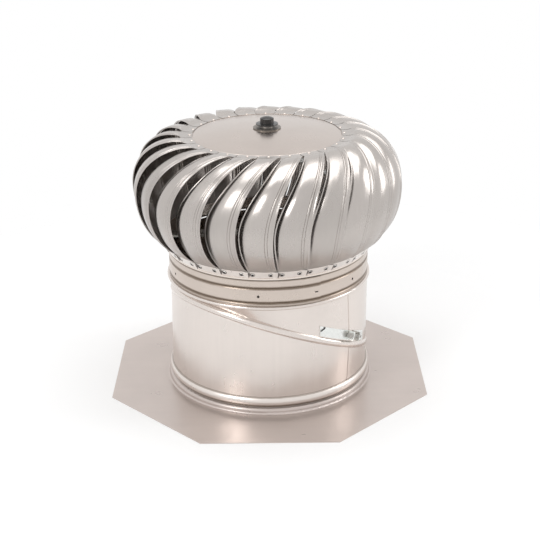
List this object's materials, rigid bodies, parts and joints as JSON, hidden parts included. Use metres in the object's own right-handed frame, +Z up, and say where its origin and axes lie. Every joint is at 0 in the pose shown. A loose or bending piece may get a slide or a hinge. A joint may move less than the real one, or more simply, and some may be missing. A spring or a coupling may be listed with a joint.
{
  "type": "roof turbine ventilator",
  "caption": "Wind-driven roof ventilator: a louvred globe head spinning on a throat with a slanting swivel joint, on an octagonal roof flashing.",
  "frame": {"origin": "on the duct axis, at the underside of the roof flashing", "axes": "+Z up the duct axis, -Y towards the side seen in front, +X to the right of it"},
  "size_m": [0.48, 0.48, 0.412],
  "materials": {
    "mill_aluminium": "mill",
    "zinc_plate": "galvanised",
    "shaft_steel": "satin",
    "dark_nut": "semi-gloss",
    "bearing_nylon": "matt",
    "rivet_aluminium": "satin"
  },
  "bodies": {
    "flashing": {"base_flashing": "mill_aluminium"},
    "lower_throat": {"lower_throat": "mill_aluminium"},
    "head_support": {"upper_throat": "mill_aluminium", "turbine_collar": "mill_aluminium", "clamp_lug_left": "zinc_plate", "clamp_lug_right": "zinc_plate", "clamp_bolt": "zinc_plate", "clamp_nut": "zinc_plate", "cross_bar": "zinc_plate", "bearing_arch": "zinc_plate", "lower_bearing": "bearing_nylon", "upper_bearing": "bearing_nylon", "arch_rivets": "rivet_aluminium", "bar_rivets": "rivet_aluminium"},
    "rotor": {"rotor_shaft": "shaft_steel", "thrust_collar": "shaft_steel", "shaft_clip": "shaft_steel", "rotor_ring": "mill_aluminium", "vane_01": "mill_aluminium", "vane_02": "mill_aluminium", "vane_03": "mill_aluminium", "vane_04": "mill_aluminium", "vane_05": "mill_aluminium", "vane_06": "mill_aluminium", "vane_07": "mill_aluminium", "vane_08": "mill_aluminium", "vane_09": "mill_aluminium", "vane_10": "mill_aluminium", "vane_11": "mill_aluminium", "vane_12": "mill_aluminium", "vane_13": "mill_aluminium", "vane_14": "mill_aluminium", "vane_15": "mill_aluminium", "vane_16": "mill_aluminium", "vane_17": "mill_aluminium", "vane_18": "mill_aluminium", "vane_19": "mill_aluminium", "vane_20": "mill_aluminium", "vane_21": "mill_aluminium", "vane_22": "mill_aluminium", "vane_23": "mill_aluminium", "vane_24": "mill_aluminium", "top_dome": "mill_aluminium", "hub_washer": "zinc_plate", "hub_spacer": "shaft_steel", "hub_cap_nut": "dark_nut", "crown_rivets": "rivet_aluminium", "foot_eyelets": "rivet_aluminium"}
  },
  "joints": [
    {"name": "base_swivel", "type": "hinge", "parent": "flashing", "child": "lower_throat", "pos_m": [0, 0, 0.0192], "axis": [0, 0, 1], "continuous": true},
    {"name": "pitch_swivel", "type": "hinge", "parent": "lower_throat", "child": "head_support", "pos_m": [0, 0, 0.0965], "axis": [0.2844, 0.2561, 0.9239], "continuous": true},
    {"name": "rotor_spin", "type": "hinge", "parent": "head_support", "child": "rotor", "pos_m": [0, 0, 0.3], "axis": [0, 0, 1], "continuous": true}
  ]
}
